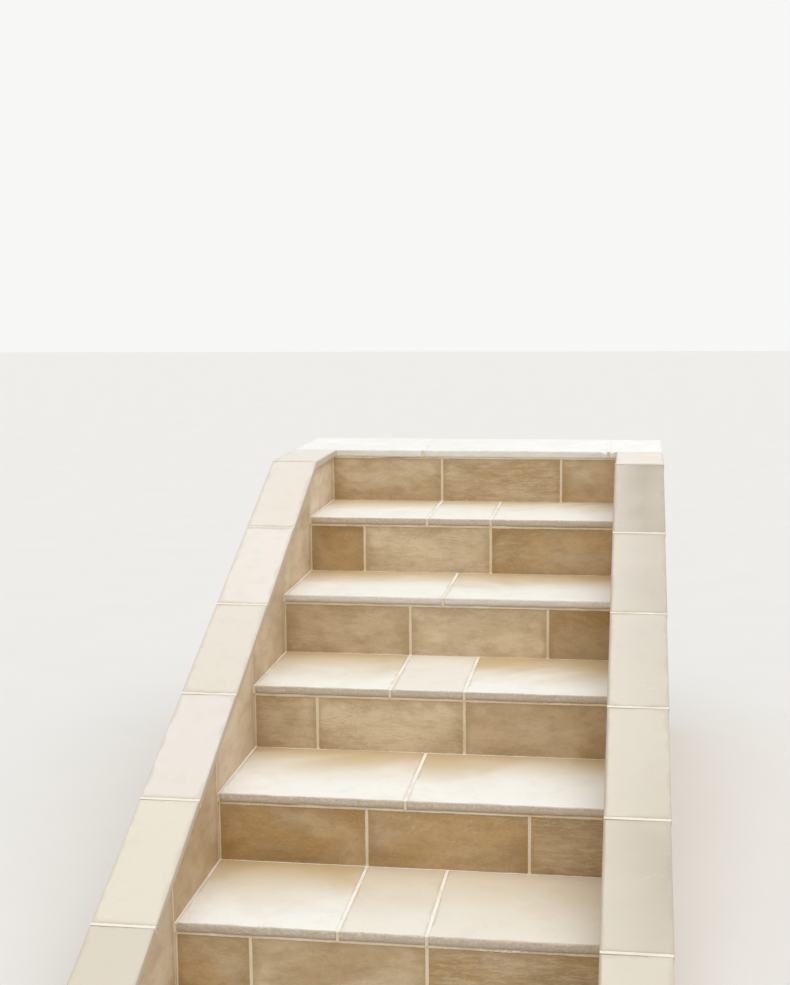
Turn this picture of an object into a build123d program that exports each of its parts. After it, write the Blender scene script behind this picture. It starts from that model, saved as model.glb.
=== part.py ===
from build123d import *
import math
import os

# Outdoor flight of six risers between two raking cheek walls, clad in stone-coloured
# slabs. Millimetres, +Z up. X runs across the stair and the flight climbs towards +Y.
# The origin is on the ground, in the middle of the whole stair's length and width.
# Steps are counted from the bottom: riser 1 stands on the ground, tread 1 is above it.

# The flight
riser_count = 6
rise = 176.0
going = 400.0
clear_width = 1000.0
nosing_overhang = 5.0
landing_depth = 400.0

# Stone slabs
tread_thickness = 22.0
riser_thickness = 18.0
facing_thickness = 18.0
coping_thickness = 22.0
long_tile = 404.0
short_tile = 199.0
wide_tread = 510.0
landing_slab = 630.0
landing_end_slab = 178.0

# Joints between slabs
tile_joint = 6.0
smallest_cut = 40.0
edge_joint = 4.0
bed_joint = 4.0
facing_joint = 4.0
coping_joint = 6.0
mitre_joint = 3.0

# Cheek walls and their coping
wall_thickness = 90.0
coping_above_nosings = 148.0
left_coping_overhang = 15.0
right_coping_overhang = 21.0
coping_outer_overhang = 9.0
coping_end_overhang = 10.0
cheek_run_out = 548.0
coping_slab = 397.0

pointing_recess = 1.5

# Worn arrises
nosing_round = 4.0
coping_round = 3.0
tile_bevel = 1.2

# Reach of a search for the edges on a line
near = 0.01

# Slope of the nosing line, and the coping line above it
slope = math.atan2(rise, going)
landing_height = riser_count * rise
bend_run = coping_above_nosings * going / rise
run_in_front = (riser_count - 1) * going + cheek_run_out
coping_length = (run_in_front - bend_run) / math.cos(slope)
coping_slabs = round(coping_length / (coping_slab + coping_joint))
coping_pitch = (coping_length + coping_joint) / coping_slabs
mitre_cut = coping_thickness * math.tan(slope / 2)

# Across the stair, measured from the centre line
inner_face = clear_width / 2
wall_inner = inner_face + facing_thickness
wall_outer = wall_inner + wall_thickness
outer_face = wall_outer + facing_thickness
coping_outer = outer_face + coping_outer_overhang

# Along the stair, from the landing's front edge, then moved so that the origin is central
landing_nose = (run_in_front - landing_depth) / 2
back_face = landing_nose + landing_depth
wall_back = back_face - facing_thickness
coping_front = landing_nose - run_in_front
wall_front = coping_front + coping_end_overhang + facing_thickness


def nose_y(step):
    """Front edge of a tread; step 0 is the ground and the last one is the landing."""
    return landing_nose - (riser_count - step) * going


def tread_z(step):
    """Walking surface of a step."""
    return step * rise


def riser_face(step):
    """Front of the riser tiles below the nosing of a step."""
    return nose_y(step) + nosing_overhang


def step_bed(step):
    """Top of the concrete under a step's slabs."""
    return tread_z(step) - tread_thickness


def on_coping(distance, depth):
    """Point (y, z) at a distance down the raking coping from its bend, and a depth below its top."""
    y = landing_nose - bend_run - distance * math.cos(slope) + depth * math.sin(slope)
    z = landing_height - distance * math.sin(slope) - depth * math.cos(slope)
    return (y, z)


def coping_inner(side):
    """Edge of a coping over the flight; the right one laps further over it."""
    overhang = right_coping_overhang if side > 0 else left_coping_overhang
    return side * (inner_face - overhang)


def prism(profile, x_from, x_to):
    """Solid of a side profile of (y, z) points, from one x to another."""
    face = make_face(Polyline(*profile, close=True))
    return extrude(Plane.YZ.offset(x_from) * face, x_to - x_from)


def slab(x_range, y_range, z_range):
    """Plain rectangular slab between two values on each axis."""
    low = [min(r) for r in (x_range, y_range, z_range)]
    high = [max(r) for r in (x_range, y_range, z_range)]
    size = [b - a for a, b in zip(low, high)]
    middle = [(a + b) / 2 for a, b in zip(low, high)]
    return Pos(*middle) * Box(*size)


def bevelled(tile, axis, side):
    """Tile with the sharp edge taken off all round the face that is seen along an axis."""
    seen = tile.faces().sort_by(axis)[-1 if side > 0 else 0]
    return chamfer(seen.edges(), tile_bevel)


def pointing(region, slabs):
    """Mortar that fills a region between the slabs set in it, clear of the ground."""
    reach = abs(coping_front) + abs(coping_outer)
    under = slab((-reach, reach), (-reach, reach), (-bed_joint, bed_joint))
    return list((region - [under, *slabs]).solids())


def row_of_tiles(edge, leading, repeating):
    """X ranges of a row between -edge and edge, set out from the right.

    The leading widths come first, then the repeating one; the last tile is cut to fill the row.
    """
    ranges = []
    x = edge
    widths = list(leading)
    width = widths.pop(0)
    while x + edge > width + tile_joint + smallest_cut:
        ranges.append((x - width, x))
        x -= width + tile_joint
        width = widths.pop(0) if widths else repeating
    ranges.append((-edge, x))
    return ranges


def even_course(start, end, tile, shifted):
    """Ranges of equal tiles from start to end; a shifted course has a half tile at each end."""
    count = max(round((end - start) / tile), 1)
    pitch = (end - start + tile_joint) / count
    cuts = [start + pitch * (n + 0.5 * shifted) for n in range(0 if shifted else 1, count)]
    starts = [start] + cuts
    ends = [cut - tile_joint for cut in cuts] + [end]
    return list(zip(starts, ends))


def side_outline(lowered):
    """Side profile of a cheek wall, from the ground to just under its coping."""
    bend_height = landing_height - coping_thickness - lowered
    under_bend = coping_thickness + lowered
    front_top = on_coping(coping_length, under_bend)
    bend = on_coping(under_bend * math.tan(slope / 2), under_bend)
    front_z = front_top[1] + (wall_front - front_top[0]) * math.tan(slope)
    return [
        (wall_front, 0),
        (wall_back, 0),
        (wall_back, bend_height),
        (bend[0], bend_height),
        (wall_front, front_z),
    ]


def stair_core():
    """Stepped concrete mass that carries the slabs, cast between the two cheek walls."""
    profile = [(wall_back, 0), (wall_back, step_bed(riser_count))]
    for step in range(riser_count, 0, -1):
        back_of_riser = riser_face(step) + riser_thickness
        profile.append((back_of_riser, step_bed(step)))
        profile.append((back_of_riser, step_bed(step - 1) if step > 1 else 0))
    return prism(profile, -wall_inner, wall_inner)


def cheek_wall(side):
    """Raking masonry wall beside the flight."""
    return prism(side_outline(0), side * wall_inner, side * wall_outer)


def riser_foot(step):
    """Level on which the tiles of a riser stand: the ground, or the concrete behind a tread."""
    return step_bed(step - 1) if step > 1 else 0


def riser(step):
    """Tiles that face one riser, between the concrete and the nosing above."""
    leading = [long_tile if step % 2 else short_tile]
    y_range = (riser_face(step), riser_face(step) + riser_thickness)
    z_range = (riser_foot(step), step_bed(step) - bed_joint)
    tiles = []
    for x_range in row_of_tiles(inner_face - edge_joint, leading, long_tile):
        tiles.append(bevelled(slab(x_range, y_range, z_range), Axis.Y, -1))
    return tiles


def riser_pointing(step, tiles):
    """Mortar between, beside and over the tiles of a riser."""
    y_range = (riser_face(step) + pointing_recess, riser_face(step) + riser_thickness)
    z_range = (riser_foot(step), step_bed(step))
    return pointing(slab((-inner_face, inner_face), y_range, z_range), tiles)


def tread(step):
    """Slabs that make one tread, long, short and long or two wide ones by turns."""
    leading = [long_tile, short_tile] if step % 2 else [wide_tread]
    front = nose_y(step)
    back = riser_face(step + 1) - edge_joint
    slabs = []
    for x_range in row_of_tiles(inner_face - edge_joint, leading, leading[0]):
        piece = slab(x_range, (front, back), (step_bed(step), tread_z(step)))
        slabs.append(round_nosing(piece, front, tread_z(step)))
    return slabs


def tread_pointing(step, slabs):
    """Mortar between, beside and behind the slabs of a tread."""
    y_range = (nose_y(step) + pointing_recess, riser_face(step + 1))
    z_range = (step_bed(step), tread_z(step) - pointing_recess)
    return pointing(slab((-inner_face, inner_face), y_range, z_range), slabs)


def round_nosing(piece, front, top):
    """Wear the top front edge of a slab round."""
    front_edges = piece.edges().filter_by(Axis.X).filter_by_position(Axis.Y, front - near, front + near)
    return fillet(front_edges.filter_by_position(Axis.Z, top - near, top + near), nosing_round)


def landing_course():
    """Row of slabs along the landing's edge, over the concrete and both cheek walls."""
    slabs = []
    for x_range in row_of_tiles(coping_outer, [landing_end_slab], landing_slab):
        piece = slab(x_range, (landing_nose, back_face), (step_bed(riser_count), landing_height))
        slabs.append(round_nosing(piece, landing_nose, landing_height))
    return slabs


def landing_pointing(slabs):
    """Mortar in the cross joints of the landing course."""
    y_range = (landing_nose + pointing_recess, back_face - pointing_recess)
    z_range = (step_bed(riser_count), landing_height - pointing_recess)
    edge = coping_outer - pointing_recess
    return pointing(slab((-edge, edge), y_range, z_range), slabs)


def raking_columns():
    """Each step's number and the stretch of cheek wall from its nosing to the next one."""
    columns = []
    step = riser_count
    while nose_y(step) > wall_front + smallest_cut:
        step -= 1
        front = max(nose_y(step), wall_front)
        if front - wall_front < smallest_cut:
            front = wall_front
        columns.append((step, (front, nose_y(step + 1) - facing_joint)))
    return columns


def inner_facing(side):
    """One raking tile for each step, standing on the concrete beside the slabs."""
    outline = prism(side_outline(bed_joint), side * inner_face, side * wall_inner)
    tiles = []
    for step, y_range in raking_columns():
        bottom = step_bed(step) if step > 0 else 0
        column = slab((side * inner_face, side * wall_inner), y_range, (bottom, landing_height))
        tiles.append(bevelled(column & outline, Axis.X, -side))
    return tiles


def inner_pointing(side, tiles, core):
    """Mortar round the inner facing, up to the coping and back to the concrete."""
    region = prism(side_outline(0), side * (inner_face + pointing_recess), side * wall_inner)
    return pointing(region, [core, *tiles])


def outer_facing(side):
    """Tiles on a cheek's outer face: the same raking tiles, on broken-jointed courses."""
    x_range = (side * wall_outer, side * outer_face)
    outline = prism(side_outline(bed_joint), *x_range)
    tiles = []
    for step, y_range in raking_columns():
        column = slab(x_range, y_range, (max(tread_z(step), 0), landing_height))
        tiles.append(bevelled(column & outline, Axis.X, side))
    for course in range(1, riser_count + 1):
        z_range = (tread_z(course - 1), tread_z(course) - facing_joint)
        for y_range in even_course(nose_y(course), wall_back, going, course % 2):
            tiles.append(bevelled(slab(x_range, y_range, z_range) & outline, Axis.X, side))
    return tiles


def outer_pointing(side, tiles, end):
    """Mortar round the tiles of a cheek's outer face and over its end tile, up to the coping."""
    seen = side * (outer_face - pointing_recess)
    flank = prism(side_outline(0), side * wall_outer, seen)
    front = prism(end_profile(0, pointing_recess), side * (inner_face + pointing_recess), seen)
    return pointing(flank + front, [end, *tiles])


def end_profile(lowered, recess):
    """Side profile of what closes the front end of a cheek wall under its coping."""
    front = wall_front - facing_thickness + recess
    under_coping = side_outline(lowered)[-1]
    front_top = under_coping[1] - (wall_front - front) * math.tan(slope)
    return [(front, 0), (wall_front, 0), under_coping, (front, front_top)]


def end_tile(side):
    """Low tile that closes the front end of a cheek wall."""
    return prism(end_profile(bed_joint, 0), side * inner_face, side * outer_face)


def back_facing():
    """Broken-jointed tiles that close the back of the stair under the landing."""
    tiles = []
    for course in range(1, riser_count + 1):
        top = tread_z(course) if course < riser_count else step_bed(course)
        z_range = (tread_z(course - 1), top - facing_joint)
        for x_range in even_course(-outer_face, outer_face, long_tile, course % 2):
            tiles.append(bevelled(slab(x_range, (wall_back, back_face), z_range), Axis.Y, 1))
    return tiles


def back_pointing(tiles):
    """Mortar round the tiles of the back."""
    edge = outer_face - pointing_recess
    y_range = (wall_back, back_face - pointing_recess)
    return pointing(slab((-edge, edge), y_range, (0, step_bed(riser_count))), tiles)


def coping_slab_on_rake(side, number):
    """One raking coping slab; number 1 is the highest, cut to a mitre at the bend."""
    start = max((number - 1) * coping_pitch, mitre_joint / 2)
    end = number * coping_pitch - coping_joint
    mitre = mitre_cut if number == 1 else 0
    profile = [
        on_coping(start, 0),
        on_coping(end, 0),
        on_coping(end, coping_thickness),
        on_coping(start + mitre, coping_thickness),
    ]
    return round_arrises(prism(profile, coping_inner(side), side * coping_outer))


def coping_cap(side):
    """Level slab from the bend of a coping to the landing's edge, mitred to the rake."""
    front = landing_nose - bend_run + mitre_joint / 2
    back = landing_nose - bed_joint
    under = landing_height - coping_thickness
    profile = [(front, landing_height), (back, landing_height), (back, under), (front + mitre_cut, under)]
    return round_arrises(prism(profile, coping_inner(side), side * coping_outer))


def coping_pointing(side, slabs):
    """Mortar in the cross joints of a coping, from its lowest joint to the landing's edge."""
    top = landing_height - pointing_recess
    bend = on_coping(pointing_recess * math.tan(slope / 2), pointing_recess)
    foot = coping_length - coping_pitch / 2
    profile = [
        on_coping(foot, pointing_recess),
        bend,
        (landing_nose, top),
        (landing_nose, landing_height - coping_thickness),
        on_coping(mitre_cut, coping_thickness),
        on_coping(foot, coping_thickness),
    ]
    x_range = (coping_inner(side) + side * pointing_recess, side * (coping_outer - pointing_recess))
    return pointing(prism(profile, *x_range), slabs)


def round_arrises(piece):
    """Wear the two long top edges of a coping slab round."""
    top_face = piece.faces().sort_by(Axis.Z)[-1]
    long_edges = [e for e in top_face.edges() if abs(e.tangent_at(0.5).X) < 0.5]
    return fillet(long_edges, coping_round)


def write(node, *solids):
    """Write the solids of one node to its own file."""
    shape = solids[0] if len(solids) == 1 else Compound(children=list(solids))
    export_step(shape, f"parts/{node}.step")


def write_flight(core):
    """Write the concrete and the slabs between the cheek walls, with their pointing."""
    write("stair_core", core)
    mortar = []
    for step in range(1, riser_count + 1):
        tiles = riser(step)
        write(f"riser_{step}", *tiles)
        mortar += riser_pointing(step, tiles)
    write("riser_pointing", *mortar)
    mortar = []
    for step in range(1, riser_count):
        slabs = tread(step)
        write(f"tread_{step}", *slabs)
        mortar += tread_pointing(step, slabs)
    write("tread_pointing", *mortar)
    slabs = landing_course()
    write("landing_course", *slabs)
    write("landing_pointing", *landing_pointing(slabs))


def write_cheek(name, side, core):
    """Write one cheek wall with its facings and coping; return the mortar of its coping."""
    inner_tiles = inner_facing(side)
    outer_tiles = outer_facing(side)
    end = end_tile(side)
    cap = coping_cap(side)
    rake = [coping_slab_on_rake(side, number) for number in range(1, coping_slabs + 1)]
    write(f"{name}_cheek_wall", cheek_wall(side))
    write(f"{name}_inner_facing", *inner_tiles)
    write(f"{name}_outer_facing", *outer_tiles)
    write(f"{name}_end_tile", end)
    write(f"{name}_inner_pointing", *inner_pointing(side, inner_tiles, core))
    write(f"{name}_outer_pointing", *outer_pointing(side, outer_tiles, end))
    write(f"{name}_cap", cap)
    for number, piece in enumerate(rake, 1):
        write(f"{name}_coping_{number}", piece)
    return coping_pointing(side, [cap, *rake])


def main():
    os.makedirs("parts", exist_ok=True)
    core = stair_core()
    write_flight(core)
    coping_mortar = write_cheek("left", -1, core) + write_cheek("right", 1, core)
    write("coping_pointing", *coping_mortar)
    tiles = back_facing()
    write("back_facing", *tiles)
    write("back_pointing", *back_pointing(tiles))


main()
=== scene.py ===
import math
import random
from dataclasses import dataclass, replace

import bmesh
import bpy
from bpy.props import FloatProperty, FloatVectorProperty, PointerProperty
from mathutils import Matrix, Vector, noise
from mathutils.bvhtree import BVHTree
from mathutils.geometry import convex_hull_2d, delaunay_2d_cdt


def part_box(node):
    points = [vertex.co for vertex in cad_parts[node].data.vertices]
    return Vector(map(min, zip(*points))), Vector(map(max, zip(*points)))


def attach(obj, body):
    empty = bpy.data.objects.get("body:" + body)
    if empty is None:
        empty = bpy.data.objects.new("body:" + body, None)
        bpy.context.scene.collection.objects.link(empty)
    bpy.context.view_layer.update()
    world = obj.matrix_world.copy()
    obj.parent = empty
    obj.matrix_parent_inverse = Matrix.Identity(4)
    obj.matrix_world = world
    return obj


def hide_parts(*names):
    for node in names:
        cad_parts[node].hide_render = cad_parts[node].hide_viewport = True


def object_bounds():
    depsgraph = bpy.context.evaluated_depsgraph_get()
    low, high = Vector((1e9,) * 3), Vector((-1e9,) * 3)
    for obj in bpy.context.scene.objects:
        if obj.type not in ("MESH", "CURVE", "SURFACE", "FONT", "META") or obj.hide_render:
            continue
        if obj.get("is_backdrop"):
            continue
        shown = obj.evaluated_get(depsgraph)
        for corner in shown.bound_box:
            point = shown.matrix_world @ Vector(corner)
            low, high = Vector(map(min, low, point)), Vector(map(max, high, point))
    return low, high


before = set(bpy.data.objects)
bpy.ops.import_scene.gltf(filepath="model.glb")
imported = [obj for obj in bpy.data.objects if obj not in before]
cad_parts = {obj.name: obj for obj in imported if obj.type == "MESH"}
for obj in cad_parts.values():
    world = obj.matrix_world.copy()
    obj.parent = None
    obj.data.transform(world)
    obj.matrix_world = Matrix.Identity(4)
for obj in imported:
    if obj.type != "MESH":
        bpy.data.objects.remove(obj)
CAD_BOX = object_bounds()

bl_info = {
    "name": "Tiled Outdoor Staircase",
    "version": (1, 0, 0),
    "blender": (4, 5, 0),
    "location": "3D View > Sidebar > Staircase",
    "description": "Lays worn stone slabs and mortar over the frame of a tiled outdoor flight of steps",
    "category": "Add Mesh",
}

MM = 0.001

# Ways across, along and out of the stair
ACROSS = Vector((1, 0, 0))
CLIMB = Vector((0, 1, 0))
UP = Vector((0, 0, 1))

# Slope of the flight, from the places of its two lowest treads
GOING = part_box("tread_2")[0].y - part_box("tread_1")[0].y
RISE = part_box("tread_2")[1].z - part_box("tread_1")[1].z
RAKE = Vector((0, GOING, RISE)).normalized()

# Nodes of like slabs, by the stone that they are made of
TREADS = sorted(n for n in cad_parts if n[:6] == "tread_" and n[6:].isdigit())
RISERS = sorted(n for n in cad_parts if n[:6] == "riser_" and n[6:].isdigit())
COPINGS = sorted(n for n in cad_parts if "_coping_" in n)
CAPS = ["left_cap", "right_cap"]
INNER_FACINGS = {"left_inner_facing": CLIMB, "right_inner_facing": -CLIMB}
OUTER_FACINGS = {"left_outer_facing": -CLIMB, "right_outer_facing": CLIMB, "back_facing": -ACROSS}
END_TILES = ["left_end_tile", "right_end_tile"]
POINTING = sorted(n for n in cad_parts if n.endswith("pointing"))
OUTER_POINTING = ("left_outer_pointing", "right_outer_pointing", "back_pointing")

# How pale (up to 1) or dark (down to -1) some slabs came beside the rest, counted from the left. The right
# copings' dark tones are painted shade, and the treads' right slabs are a little darker partly as painted
# shade from the right cheek
SLAB_TONES_AND_SHADE = {
    "riser_6": (0.15, 0.0, 0.05),
    "riser_5": (-0.5, 1.0, -0.35),
    "riser_4": (0.2, 0.75, -0.85),
    "riser_3": (0.1, 0.5, 0.15),
    "riser_2": (-0.45, -0.48, -0.88),
    "riser_1": (-0.45, 0.12, -0.45),
    "tread_5": (0.34, 0.34, 0.2),
    "tread_4": (0.05, -0.34),
    "tread_3": (-0.34, 1.0, -0.3),
    "tread_2": (0.0, -0.1),
    "tread_1": (-0.3, -0.42, -0.6),
    "left_coping_6": (-0.6,),
    "left_coping_4": (-0.15,),
    "right_cap": (0.0,),
    # Painted shade on the right copings
    "right_coping_1": (-1.0,),
    "right_coping_2": (-0.62,),
    "right_coping_3": (-0.42,),
    "right_coping_4": (-0.35,),
    "right_coping_5": (-0.62,),
    "right_coping_6": (-0.22,),
}

# Second colour of some slabs: paler (up to 1) or darker (down to -1) fronts of treads, rosier copings
SLAB_HUES = {
    "tread_5": 0.1,
    "tread_4": 0.8,
    "tread_3": 0.0,
    "tread_2": 0.15,
    "tread_1": -0.25,
    "left_cap": 1.0,
    "left_coping_4": 1.5,
    "left_coping_5": 0.0,
    "left_coping_6": 0.0,
    "right_coping_5": 0.0,
}

# Places knocked off a slab's front edge: where across the stair, half the width and the depth
KNOCKS = {"landing_course": ((0.449, 0.02, 7 * MM), (0.462, 0.012, 5 * MM), (-0.14, 0.012, 4 * MM))}

# Distance from the middle of the flight to the copings
FLIGHT_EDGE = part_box("right_coping_1")[0].x

# How far behind a slab's wavy front its sides still follow it
FRONT_REACH = 0.03
# Turn of each ring of points round a worn edge, in degrees, from the side to the seen face
ARRIS_TURNS = (0, 25, 50, 72, 90)
# How far inside its worn edge the even part of a slab's face begins
EVEN_MARGIN = 3 * MM
# Largest rounding of a slab's edge on its underside
FOOT_ARRIS = 1.2 * MM
# How near the seen face a point of the frame lies to count as part of its outline
ARRIS_DEPTH = 4.6 * MM
# How far a point may lie off the line between its neighbours and still be on it
STRAIGHT = 0.4 * MM
# Two directions point the same way where their product is above this
SAME_WAY = 0.99
# Points of the frame that lie nearer to each other than this are one
MERGE_DISTANCE = 0.02 * MM
# Height of a tread slab and the mortar bed under it
UNDER_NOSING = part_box("tread_1")[1].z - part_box("riser_1")[1].z + 0.5 * MM
# Where the mortar of the corner under the landing begins, along the stair
TOP_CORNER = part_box("left_inner_facing")[1].y - 1 * MM

# Half the width of the floor
FLOOR_REACH = 30.0
# Colour of the background behind the floor
BACKGROUND = (0.93, 0.93, 0.92, 1.0)
# Where the wide lamp hangs; it points at the middle of the stair's base
LAMP_PLACE = Vector((0.9, -1.3, 5.0))
# Camera's place in the frame, and its turns: down from level, clockwise, and to the left
CAMERA_PLACE = Vector((0.5375, -4.2590, 1.6536))
CAMERA_PITCH = -0.13739
CAMERA_ROLL = 0.00921
CAMERA_YAW = 0.15221
CAMERA_SENSOR = 36.0
# Nearest and farthest distance that the camera sees
CAMERA_SIGHT = (0.05, 200.0)


class StairSizes(bpy.types.PropertyGroup):
    """Sizes of the wear on the slabs and of the mortar between them."""

    tile_arris: FloatProperty(
        name="Tile Arris",
        description="Radius of the worn edges of the facing tiles",
        default=1.5 * MM,
        min=0.2 * MM,
        max=4 * MM,
        unit="LENGTH",
    )
    nosing_arris: FloatProperty(
        name="Nosing Arris",
        description="Radius of the worn front edge of a tread",
        default=3.2 * MM,
        min=0.5 * MM,
        max=8 * MM,
        unit="LENGTH",
    )
    coping_arris: FloatProperty(
        name="Coping Arris",
        description="Radius of the worn edges of the coping slabs",
        default=3.0 * MM,
        min=0.5 * MM,
        max=6 * MM,
        unit="LENGTH",
    )
    lowest_arris: FloatProperty(
        name="Lowest Arris",
        description="Radius of the worn front edge of the lowest tread, which takes the most knocks",
        default=5.5 * MM,
        min=0.5 * MM,
        max=9 * MM,
        unit="LENGTH",
    )
    chip_size: FloatProperty(
        name="Chip Size",
        description="Depth of the largest chips broken from the edges",
        default=3.5 * MM,
        min=0.0,
        max=8 * MM,
        unit="LENGTH",
    )
    split_depth: FloatProperty(
        name="Split Depth",
        description="Depth of the hollows in the split front of a tread",
        default=1.5 * MM,
        min=0.0,
        max=4 * MM,
        unit="LENGTH",
    )
    nosing_wave: FloatProperty(
        name="Nosing Wave",
        description="How far the front of a tread wanders from a straight line",
        default=2.0 * MM,
        min=0.0,
        max=4 * MM,
        unit="LENGTH",
    )
    mortar_flush: FloatProperty(
        name="Mortar Flush",
        description="How far the mortar stands forward of its raked-out joint",
        default=0.8 * MM,
        min=0.0,
        max=1.5 * MM,
        unit="LENGTH",
    )
    mortar_relief: FloatProperty(
        name="Mortar Relief",
        description="How uneven the mortar's surface is",
        default=0.6 * MM,
        min=0.0,
        max=1.0 * MM,
        unit="LENGTH",
    )
    corner_lumps: FloatProperty(
        name="Corner Lumps",
        description="How far lumps of mortar stand out in the corners under the landing",
        default=1.6 * MM,
        min=0.0,
        max=4 * MM,
        unit="LENGTH",
    )
    nosing_bed: FloatProperty(
        name="Nosing Bed",
        description="How far the mortar stands out under the nosings",
        default=1.4 * MM,
        min=0.0,
        max=4 * MM,
        unit="LENGTH",
    )


def screen_to_linear(value):
    """Share of light for a value on the screen's scale."""
    if value <= 0.04045:
        return value / 12.92
    return ((value + 0.055) / 1.055) ** 2.4


def colour_property(name, description, red, green, blue):
    """Colour given as it is seen on a screen, from 0 to 255."""
    return FloatVectorProperty(
        name=name,
        description=description,
        default=[screen_to_linear(v / 255) for v in (red, green, blue)],
        min=0.0,
        max=1.0,
        size=3,
        subtype="COLOR",
    )


class StairColours(bpy.types.PropertyGroup):
    """Colours of the stone, the mortar and the masonry."""

    riser_pale: colour_property("Riser Pale", "Pale patches of the risers", 226, 205, 173)
    riser_deep: colour_property("Riser Deep", "Deep ochre of the risers", 160, 129, 80)
    riser_golden: colour_property("Riser Golden", "Golden patches of the facing tiles", 190, 148, 84)
    # Treads go from the ochre at the back to the bleached colour at the front partly by wear and partly as
    # painted shade against the riser and painted sheen towards the nosing
    tread_ochre: colour_property("Tread Ochre", "Treads where they aren't walked on", 207, 184, 141)
    tread_bleached_and_sheen: colour_property("Tread Bleached", "Treads that feet and rain have paled", 249, 248, 241)
    landing: colour_property("Landing", "Slabs along the landing's edge", 249, 249, 246)
    # The darker foot of a tread's split front is partly dirt and partly painted shade
    nosing_foot: colour_property("Nosing Foot", "Soiled foot of a tread's split front", 150, 128, 98)
    nosing: colour_property("Nosing", "Split front of the treads", 202, 188, 168)
    tile_grey: colour_property("Tile Grey", "Greyer patches of the facing tiles", 184, 166, 141)
    facing_pale: colour_property("Facing Pale", "Pale patches of the cheeks' tiles", 235, 217, 191)
    facing_deep: colour_property("Facing Deep", "Deep patches of the cheeks' tiles", 185, 155, 115)
    coping_pale: colour_property("Coping Pale", "Coping slabs high on the stair", 238, 231, 221)
    # Darker colour for slabs of darker tone, and painted shade that darkens the right copings outwards
    coping_dull_and_shade: colour_property("Coping Dull", "Coping slabs that the weather has dulled", 184, 173, 157)
    coping_cream: colour_property("Coping Cream", "Coping slabs low on the stair", 227, 219, 201)
    coping_rosy: colour_property("Coping Rosy", "Coping slabs that came rosier than the rest", 238, 229, 226)
    # Painted shade along the right coping's edge over the flight
    coping_edge_shade: colour_property("Damp Edge", "Edge of the right coping over the flight", 168, 154, 142)
    mortar: colour_property("Mortar", "Clean mortar", 251, 247, 238)
    coping_mortar: colour_property("Coping Mortar", "Mortar between the copings", 243, 236, 223)
    # Mortar on upright faces, greyer as painted shade
    mortar_upright_shaded: colour_property("Mortar Upright", "Greyer mortar between upright tiles", 230, 214, 186)
    mortar_soiled: colour_property("Mortar Soiled", "Mortar with dirt in it", 204, 184, 152)
    concrete: colour_property("Concrete", "Bare concrete", 168, 164, 156)
    blockwork: colour_property("Blockwork", "Bare masonry of the cheek walls", 186, 178, 164)


class StairStage(bpy.types.PropertyGroup):
    """Floor, light and camera."""

    sky_level: FloatProperty(
        name="Sky Level",
        description="Strength of the even light from all round",
        default=0.58,
        min=0.0,
        max=2.0,
    )
    lamp_level: FloatProperty(
        name="Lamp Level",
        description="Strength of the wide soft lamp over the stair",
        default=1.55,
        min=0.0,
        max=10.0,
    )
    lamp_spread: FloatProperty(
        name="Lamp Spread",
        description="How wide the lamp looks from the stair; a wider one gives softer shadows",
        default=math.radians(70),
        min=0.0,
        max=math.pi,
        subtype="ANGLE",
    )
    lens: FloatProperty(
        name="Lens",
        description="Focal length of the camera",
        default=57.21,
        min=20.0,
        max=200.0,
        subtype="DISTANCE_CAMERA",
    )
    floor: colour_property("Floor", "Colour of the floor", 232, 231, 228)


@dataclass
class Finish:
    """How the edges and the face of a kind of slab are worn, in metres."""

    spacing: float
    face_spacing: float
    arris: float
    relief: float
    relief_size: float
    stretch: float = 1.0
    wear: float = 0.5
    side_rings: int = 0
    chips: float = 2.0
    chip_size: float = 0.0
    nosing_arris: float = 0.0
    split: float = 0.0
    wave: float = 0.0


@dataclass
class Lie:
    """Directions of a slab's seen face: across it, up it and out of it."""

    across: Vector
    along: Vector

    @property
    def out(self):
        return self.across.cross(self.along)

    def flat(self, point):
        """Place of a point on the face."""
        return Vector((point.dot(self.across), point.dot(self.along)))

    def solid(self, flat, height):
        """Point in the frame from its place on the face and its height along the way out."""
        return self.across * flat.x + self.along * flat.y + self.out * height


@dataclass
class RimPoint:
    """Point on the outline of a slab's seen face, with the point of its underside below it."""

    place: Vector
    below: Vector
    inwards: Vector
    on_front: bool
    near_front: float
    run: float


class SlabMesh:
    """Points, faces and surface values of the slabs of one node, gathered before the mesh is made."""

    def __init__(self):
        self.points = []
        self.faces = []
        self.grain = []
        self.lot = []
        self.edge = []
        self.reach = []
        self.front = []

    def add_point(self, place, grain, lot, edge, reach, front):
        self.points.append(place)
        self.grain.extend(grain)
        self.lot.extend(lot)
        self.edge.append(edge)
        self.reach.append(reach)
        self.front.append(front)
        return len(self.points) - 1

    def build(self, name):
        """Make the object, with its surface values as attributes that the materials read."""
        mesh = bpy.data.meshes.new(name)
        mesh.from_pydata(self.points, [], self.faces)
        mesh.attributes.new("grain", "FLOAT_VECTOR", "POINT").data.foreach_set("vector", self.grain)
        mesh.attributes.new("lot", "FLOAT_VECTOR", "POINT").data.foreach_set("vector", self.lot)
        for key in ("edge", "reach", "front"):
            mesh.attributes.new(key, "FLOAT", "POINT").data.foreach_set("value", getattr(self, key))
        mesh.shade_smooth()
        made = bpy.data.objects.new(name, mesh)
        bpy.context.scene.collection.objects.link(made)
        return made


def loose_parts(mesh):
    """Lists of points of the separate solids in a mesh, from the left, front and bottom."""
    working = bmesh.new()
    working.from_mesh(mesh)
    bmesh.ops.remove_doubles(working, verts=working.verts, dist=MERGE_DISTANCE)
    left = set(working.verts)
    parts = []
    for start in working.verts:
        if start not in left:
            continue
        left.remove(start)
        part = [start]
        for vert in part:
            for edge in vert.link_edges:
                other = edge.other_vert(vert)
                if other in left:
                    left.remove(other)
                    part.append(other)
        parts.append([vert.co.copy() for vert in part])
    working.free()
    parts.sort(key=lambda part: tuple(round(min(p[axis] for p in part), 3) for axis in range(3)))
    return parts


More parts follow.
